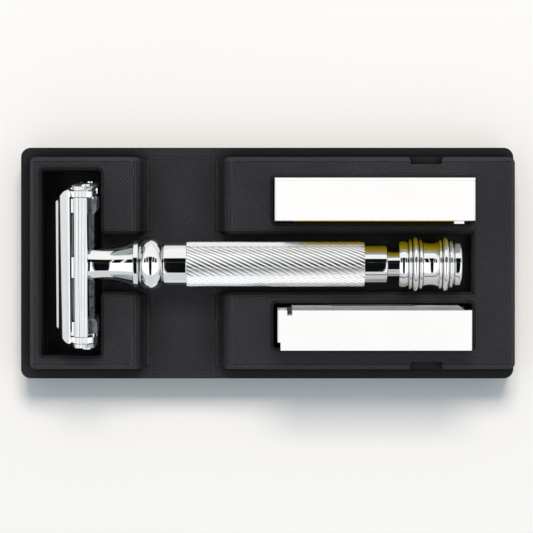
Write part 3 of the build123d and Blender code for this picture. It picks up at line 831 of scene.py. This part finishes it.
# The ball and its collar: one turned brass piece, chromed. It is screwed between neck and grip,
# with a narrow groove on each side of the ball.
ball_radius = 7.95
ball_half_length = 3.45
ball_curve = 5.3
ball_steps = 36
shoulder_drop = 0.6
shoulder_set_back = 0.05
groove_radius = 4.7
ball_centre = -33.29
collar_start = -29.68
collar_end = -23.04
collar_radius = 6.35
collar_ring_radius = 4.6
ball_arc = [
    (ball_centre + offset, ball_radius * sqrt(1 - (offset / ball_curve) ** 2), 0)
    for offset in [
        ball_half_length * (2 * step / ball_steps - 1) for step in range(ball_steps + 1)
    ]
]
ball_left = ball_arc[0][0] - shoulder_set_back
ball_right = ball_arc[-1][0] + shoulder_set_back
ball_shoulder = ball_arc[0][1] - shoulder_drop
turned(
    "turned_ball",
    rounded([
        (neck_end, handle_bore, 0), (neck_end, groove_radius, 0), (ball_left, groove_radius, 0),
        (ball_left, ball_shoulder, 0), *ball_arc, (ball_right, ball_shoulder, 0),
        (ball_right, groove_radius, 0), (collar_start, groove_radius, 0),
        (collar_start, collar_radius, 0.3), (collar_end, collar_radius, 0.2),
        (collar_end, collar_ring_radius, 0), (collar_end, handle_bore, 0),
    ]),
    chrome, "razor", "chrome", "ball_collar",
)

# The grip: a chromed brass tube, knurled one way only. A toothed wheel pressed grooves into it
# that wind round it steeply, with round-backed ridges between them.
grip_radius = 6.475
grip_length = 50.85
grip_end = collar_end + grip_length
grip_end_break = 0.06
grip_rows = 44
groove_count = 36
groove_depth = 0.42
groove_lead = 78.8
groove_samples = 8
ridge_roundness = 1.6


def knurled_tube():
    """The grip's mesh, with its columns wound along the grooves."""
    made = bmesh.new()
    columns = groove_count * groove_samples
    rings = []
    stops = [row * grip_length / grip_rows for row in range(grip_rows + 1)]
    for index, stop in enumerate(stops):
        end_break = grip_end_break if index in (0, grip_rows) else 0.0
        ring = []
        for column in range(columns):
            turn = 2 * pi * (column / columns - stop / groove_lead)
            phase = (column % groove_samples) / groove_samples
            valley = abs(2 * phase - 1) ** ridge_roundness
            radius = grip_radius - groove_depth * valley - end_break
            ring.append(made.verts.new(
                seat(collar_end + stop, radius * sin(turn), radius * cos(turn))
            ))
        rings.append(ring)
    for end, stop in ((0, 0.0), (-1, grip_length)):
        inner = []
        for column in range(columns):
            turn = 2 * pi * (column / columns - stop / groove_lead)
            inner.append(made.verts.new(seat(
                collar_end + stop, handle_bore * sin(turn), handle_bore * cos(turn)
            )))
        rings.insert(0 if end == 0 else len(rings), inner)
    rings.append(rings[0])
    for first, second in zip(rings, rings[1:]):
        for column in range(columns):
            after = (column + 1) % columns
            made.faces.new((first[column], first[after], second[after], second[column]))
    return made


finish_piece("knurled_grip", knurled_tube(), chrome, "razor", "chrome", "grip_tube")

# The tail sleeve: a plain turned brass tube behind the grip, chromed, in which the knob's shank
# runs. Its rear edge is rounded over.
sleeve_radius = 5.65
sleeve_length = 6.6
sleeve_end = grip_end + sleeve_length
shank_radius = 3.9
shank_play = 0.05
turned(
    "turned_sleeve",
    rounded([
        (grip_end, shank_radius + shank_play, 0), (grip_end, sleeve_radius, 0.05),
        (sleeve_end, sleeve_radius, 0.45), (sleeve_end, shank_radius + shank_play, 0.1),
    ]),
    chrome, "razor", "chrome", "tail_sleeve",
)

# The knob and its shank: turned brass, chromed. Barrel, three rings, a waist and three more
# rings give the fingers their hold; a cap is pressed into the end.
shank_in_sight = 3.3
shank_in_sleeve = 12.0
shank_in_knob = 6.0
knob_left = sleeve_end + shank_in_sight
shank_left = sleeve_end - shank_in_sleeve
shank_right = knob_left + shank_in_knob
shank_bore = 1.95
turned(
    "turned_shank",
    [(shank_left, shank_bore), (shank_left, shank_radius), (shank_right, shank_radius),
     (shank_right, shank_bore)],
    chrome, "turning_knob", "chrome", "knob_shank",
)
barrel_length = 2.5
barrel_edge_radius = 6.45
barrel_radius = 6.92
barrel_curve = 2.9
barrel_steps = 10
root_radius = 6.4
ring_gap = 0.14
ring_steps = 8
ring_roundness = 0.45
ring_wall = 0.1
front_rings = ((1.05, 7.5), (1.7, 8.0), (1.1, 7.4))
rear_rings = ((0.95, 7.4), (1.8, 7.95), (1.2, 7.1))
waist_length = 4.35
waist_low = 0.55
waist_floor = 6.3
waist_front_rise = 0.4
waist_rear_rise = 0.85
waist_steps = 16
cap_radius = 6.4
cap_gap = 0.1
cap_length = 2.0
cap_plug = 4.0


def ring_profile(start, rings):
    """Profile of a row of rounded rings, with a narrow groove behind each."""
    points = []
    for width, radius in rings:
        crown_height = min(ring_roundness * width, radius - root_radius - ring_wall)
        for step in range(ring_steps + 1):
            turn = pi * step / ring_steps
            points.append((
                start + width * (1 - cos(turn)) / 2,
                radius - crown_height * (1 - sin(turn)), 0,
            ))
        start += width + ring_gap
        points.append((start - ring_gap / 2, root_radius, 0))
    return points, start


barrel = [(knob_left, shank_radius, 0), (knob_left, barrel_edge_radius, 0)] + [
    (knob_left + barrel_length * share,
     barrel_radius - barrel_curve
     + sqrt(barrel_curve**2 - (barrel_length * (share - 0.5)) ** 2), 0)
    for share in [step / barrel_steps for step in range(barrel_steps + 1)]
] + [(knob_left + barrel_length + ring_gap / 2, root_radius, 0)]
front, waist_start = ring_profile(knob_left + barrel_length + ring_gap, front_rings)
waist_curve = [
    (waist_start + waist_length * share,
     waist_floor + (waist_front_rise if share < waist_low else waist_rear_rise)
     * ((share - waist_low) / (waist_low if share < waist_low else 1 - waist_low)) ** 2, 0)
    for share in [step / waist_steps for step in range(waist_steps + 1)]
]
rear, knob_end = ring_profile(waist_start + waist_length, rear_rings)
turned(
    "turned_knob",
    rounded([*barrel, *front, *waist_curve, *rear[:-1], (knob_end, root_radius, 0),
             (knob_end, shank_radius, 0)]),
    chrome, "turning_knob", "chrome", "knob",
)
cap_left = knob_end + cap_gap
cap_face = cap_left + cap_length
plug_left = cap_left - cap_plug
turned(
    "turned_cap",
    rounded([
        (plug_left, 0, 0), (plug_left, shank_radius, 0), (cap_left, shank_radius, 0),
        (cap_left, 6.1, 0.1), (cap_left + 0.35, cap_radius, 0.15), (cap_face, cap_radius, 0.55),
        (cap_face + 0.2, 5.6, 0.4), (cap_face + 0.4, 3.0, 1.0), (cap_face + 0.45, 0, 0),
    ]),
    chrome, "turning_knob", "chrome", "knob_end_cap",
)

# The blade dispensers: white polystyrene boxes, moulded, with a cover welded on one side, a
# stack of wrapped blades inside and a leaf spring behind it. The far one's cover runs the full
# length; the near one has stepped ends, and the top strip of its white cover is painted grey as
# shade.
shell_edge_break = 0.12
shaded_strip_height = 1.5

# Moulded polystyrene: a clean semi-gloss white, faintly grained at 0.3 mm, with the tint of the
# melt's flow changing over 17 mm
white, white_tree, white_shader, white_mm = material("moulded_polystyrene", IOR=1.55)
mould_grain = add(
    white_tree, "ShaderNodeTexNoise", None, {"Vector": white_mm, "Scale": 3.0, "Detail": 3.0}
)
mould_flow = add(
    white_tree, "ShaderNodeTexNoise", None, {"Vector": white_mm, "Scale": 0.06, "Detail": 2.0}
)
vary(
    white_tree, white_shader, tints=(mould_flow, "f3f2f1", "faf8f6"),
    gloss=(mould_grain, 0.3, 0.7, 0.16, 0.28), relief=(mould_grain, 0.004, 0.4),
)

# Waxed paper: a matt, uneven off-white with soft folds about 1 mm wide
paper, paper_tree, paper_shader, paper_mm = material("waxed_paper", Roughness=0.55, IOR=1.5)
paper_folds = add(
    paper_tree, "ShaderNodeTexNoise", None, {"Vector": paper_mm, "Scale": 0.8, "Detail": 4.0}
)
vary(
    paper_tree, paper_shader, tints=(paper_folds, "c9cdd0", "e9e6dd"),
    relief=(paper_folds, 0.05, 0.6),
)
for place in ("far", "near"):
    dress(f"{place}_dispenser_blade_stack", paper)
    dress(f"{place}_dispenser_spring", drawn)
dress("far_dispenser_shell", white, shell_edge_break)

# Painted shade for the top strip of the near white cover: a dull mid grey, with flow marks 4 mm
# wide and no clear reflection in it
strip_shade, strip_shade_tree, strip_shade_shader, strip_shade_mm = material("painted_shade_grey", Roughness=0.4, IOR=1.5)
strip_shade_flow = add(
    strip_shade_tree, "ShaderNodeTexNoise", None, {"Vector": strip_shade_mm, "Scale": 0.25, "Detail": 3.0}
)
vary(
    strip_shade_tree, strip_shade_shader, tints=(strip_shade_flow, "6f767a", "8d9396"), relief=(strip_shade_flow, 0.02, 0.5)
)


def in_case(x, y, z):
    """A point of the case, in millimetres, as a place in metres."""
    return Vector((x, y, z)) / 1000


def moulded(name, source, surface, body, boxes, edge_mm=0.1):
    """A piece in the form of a CAD node, with boxes cut out of it and its edges rounded."""
    piece = copy_of(name, source)
    for box in boxes:
        cut(piece, box, place=in_case)
    settle(piece, surface, edge_mm, body, source)


# Both ends of the near shell are shortened; it has a step at its outer corner, and a notch
left_end = ((0, -30, -1), (2.95, -5, 40))
right_end = ((57.9, -30, -1), (62, -5, 40))
corner_step = ((2, -30, -2), (3.8, -22.5, 41))
end_notch = ((5.65, -14.85, 9), (7.1, -10, 42))
moulded(
    "near_shell", "near_dispenser_shell", white, "near_dispenser",
    (left_end, right_end, corner_step, end_notch), shell_edge_break,
)
cover_start = ((0, -30, -1), (7.1, -5, 40))
cover_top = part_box("near_dispenser_cover")[1][2] * 1000
shaded_strip_top = cover_top - shaded_strip_height
moulded("near_cover", "near_dispenser_cover", white, "near_dispenser", (
    cover_start, ((0, -30, shaded_strip_top), (70, -5, 41)),
))
# The cover's top strip, painted grey: painted shade where its edge sits down in the gap, not a
# part of its own
moulded("near_cover_shaded_strip", "near_dispenser_cover", strip_shade, "near_dispenser", (
    cover_start, ((-1, -30, -2), (70, -5, shaded_strip_top)),
))
cover_near, cover_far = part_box("far_dispenser_cover")
shell_low, shell_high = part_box("far_dispenser_shell")
plate = bmesh.new()
for vert in bmesh.ops.create_cube(plate, size=1.0)["verts"]:
    vert.co = Vector((
        shell_high[0] if vert.co.x > 0 else shell_low[0],
        cover_far[1] if vert.co.y > 0 else cover_near[1],
        shell_high[2] if vert.co.z > 0 else cover_near[2],
    ))
soften(finish_piece(
    "far_cover", plate, white, "far_dispenser", "white_plastic", "far_dispenser_cover"
), shell_edge_break)

# The far dispenser's label: a yellow polyester film, varnished and stuck on the side that faces
# the razor, with nothing printed on it.

# Label film: a strong yellow under a clear gloss, mottled at 2 mm where the glue takes unevenly
label, label_tree, label_shader, label_mm = material(
    "label_film", Roughness=0.3, IOR=1.5, Coat_Weight=0.5, Coat_Roughness=0.05
)
label_mottle = add(
    label_tree, "ShaderNodeTexNoise", None, {"Vector": label_mm, "Scale": 0.5, "Detail": 3.0}
)
vary(
    label_tree, label_shader, tints=(label_mottle, "fcc400", "ffe000"),
    relief=(label_mottle, 0.02, 0.4),
)
dress("far_dispenser_label", label)

# The studio: a pale paper floor, a white tent with a dark gap overhead where the camera stands,
# and one large soft lamp from behind.
floor_half = 2.5
floor_level = -0.1 * millimetre

# Paper floor: matt and nearly white, its tint changing over a quarter of a metre
paper_floor, floor_tree, floor_shader, floor_mm = material("paper_floor", Roughness=0.8, IOR=1.3)
floor_tint = add(
    floor_tree, "ShaderNodeTexNoise", None, {"Vector": floor_mm, "Scale": 0.004, "Detail": 1.0}
)
vary(floor_tree, floor_shader, tints=(floor_tint, "edebe8", "f2f1ef"))
floor_made = bmesh.new()
floor_made.faces.new([
    floor_made.verts.new((x * floor_half, y * floor_half, floor_level))
    for x, y in ((-1, -1), (1, -1), (1, 1), (-1, 1))
])
floor = finish_piece("floor", floor_made, paper_floor, None, None)

# The lamp hangs behind and above, hidden from the metal, which mirrors the tent in its place
lamp_data = bpy.data.lights.new("soft_lamp", "AREA")
lamp_data.shape = "RECTANGLE"
lamp_data.size = 0.8
lamp_data.size_y = 0.72
lamp_data.energy = 34.5
lamp_data.color = linear("fff4eb")[:3]
lamp = bpy.data.objects.new("soft_lamp", lamp_data)
lamp.location = (0.08, 1.2, 1.84)
lamp.visible_glossy = False
lamp.rotation_euler = (Vector((0, 0, 0)) - lamp.location).to_track_quat("-Z", "Y").to_euler()
bpy.context.scene.collection.objects.link(lamp)

# The tent's angles are in degrees, backward and sideways from straight up. Overhead it is open
# along a bar, which struts cross, and along a stem. Its front is dull and its back is warm.
gap_edge = radians(2.0)
bar_backward = (8, 31)
bar_sideways = (-5, 58)
stem_backward = (-47, 10)
stem_sideways = (-5, 13)
inner_strut = (9, 13)
outer_strut = (30, 35)
strut_lean = -0.4
strut_cover = 0.85
gap_dark = (0.004, 0.005, 0.006, 1.0)
front_light = (0.79, 0.81, 0.82, 1.0)
middle_light = (1.5, 1.5, 1.5, 1.0)
back_light = (1.18, 1.15, 1.09, 1.0)
side_light = (0.88, 0.89, 0.88, 1.0)
low_fill = (0.26, 0.29, 0.31, 1.0)
high_fill = (0.6, 0.67, 0.72, 1.0)
world = bpy.data.worlds.new("white_tent")
bpy.context.scene.world = world
world.use_nodes = True
tent = world.node_tree
direction = add(
    tent, "ShaderNodeSeparateXYZ", None,
    {0: add(tent, "ShaderNodeTexCoord").outputs["Generated"]},
).outputs
aside = add(
    tent, "ShaderNodeMath", {"operation": "ARCTAN2"}, {0: direction[0], 1: direction[2]}
)
sideways = add(tent, "ShaderNodeMath", {"operation": "ABSOLUTE"}, {0: aside})
backward = add(
    tent, "ShaderNodeMath", {"operation": "ARCTAN2"}, {0: direction[1], 1: direction[2]}
)


def within(value, limits):
    """One between two angles and nothing outside them, with soft edges."""
    low, high = [radians(limit) for limit in limits]
    rising = add(
        tent, "ShaderNodeMapRange", {"interpolation_type": "SMOOTHSTEP"},
        {"Value": value, "From Min": low - gap_edge, "From Max": low + gap_edge},
    )
    falling = add(
        tent, "ShaderNodeMapRange", {"interpolation_type": "SMOOTHSTEP"},
        {"Value": value, "From Min": high - gap_edge, "From Max": high + gap_edge,
         "To Min": 1.0, "To Max": 0.0},
    )
    return add(tent, "ShaderNodeMath", {"operation": "MULTIPLY"}, {0: rising, 1: falling})


slanted = add(
    tent, "ShaderNodeMath", {"operation": "MULTIPLY_ADD"},
    {0: backward, 1: strut_lean, 2: sideways},
)
struts = add(
    tent, "ShaderNodeMath", {"operation": "MAXIMUM"},
    {0: within(slanted, inner_strut), 1: within(slanted, outer_strut)},
)
uncovered = add(
    tent, "ShaderNodeMath", {"operation": "MULTIPLY_ADD"}, {0: struts, 1: -strut_cover, 2: 1.0}
)
whole_bar = add(
    tent, "ShaderNodeMath", {"operation": "MULTIPLY"},
    {0: within(backward, bar_backward), 1: within(sideways, bar_sideways)},
)
bar_gap = add(
    tent, "ShaderNodeMath", {"operation": "MULTIPLY"}, {0: whole_bar, 1: uncovered}
)
stem_gap = add(
    tent, "ShaderNodeMath", {"operation": "MULTIPLY"},
    {0: within(backward, stem_backward), 1: within(sideways, stem_sideways)},
)
gap = add(tent, "ShaderNodeMath", {"operation": "MAXIMUM"}, {0: bar_gap, 1: stem_gap})
tent_light = front_light
for angle, start, end, light in (
    (backward, -52, -44, middle_light),
    (backward, 0, 35, back_light),
    (sideways, 55, 85, side_light),
):
    passed = add(
        tent, "ShaderNodeMapRange", {"interpolation_type": "SMOOTHSTEP"},
        {"Value": angle, "From Min": radians(start), "From Max": radians(end)},
    )
    tent_light = add(
        tent, "ShaderNodeMix", {"data_type": "RGBA"}, {0: passed, 6: tent_light, 7: light}
    ).outputs[2]
height = add(
    tent, "ShaderNodeMapRange", {"interpolation_type": "SMOOTHSTEP"},
    {"Value": direction[2], "From Min": 0.1, "From Max": 0.8},
)
ray = add(tent, "ShaderNodeLightPath").outputs
# Metal mirrors the tent with its gap, other surfaces get its fill, and the camera sees paper
tent_colour = add(
    tent, "ShaderNodeMix", {"data_type": "RGBA"}, {0: height, 6: low_fill, 7: high_fill}
).outputs[2]
mirrored = add(
    tent, "ShaderNodeMix", {"data_type": "RGBA"}, {0: gap, 6: tent_light, 7: gap_dark}
).outputs[2]
for rays, seen in (("Is Glossy Ray", mirrored), ("Is Camera Ray", linear("f5f3f0"))):
    tent_colour = add(
        tent, "ShaderNodeMix", {"data_type": "RGBA"}, {0: ray[rays], 6: tent_colour, 7: seen}
    ).outputs[2]
join(tent, tent.nodes["Background"], {"Color": tent_colour})

# The camera: a long lens, straight above the case and close enough that its walls show
camera_data = bpy.data.cameras.new("camera")
camera_data.sensor_width = 36.0
camera_data.lens = 164.06
camera_data.clip_start = 0.01
camera = bpy.data.objects.new("camera", camera_data)
camera.location = (-0.0002, -0.0010, 0.718)
bpy.context.scene.collection.objects.link(camera)
bpy.context.scene.camera = camera
bpy.context.scene.view_settings.view_transform = "Standard"
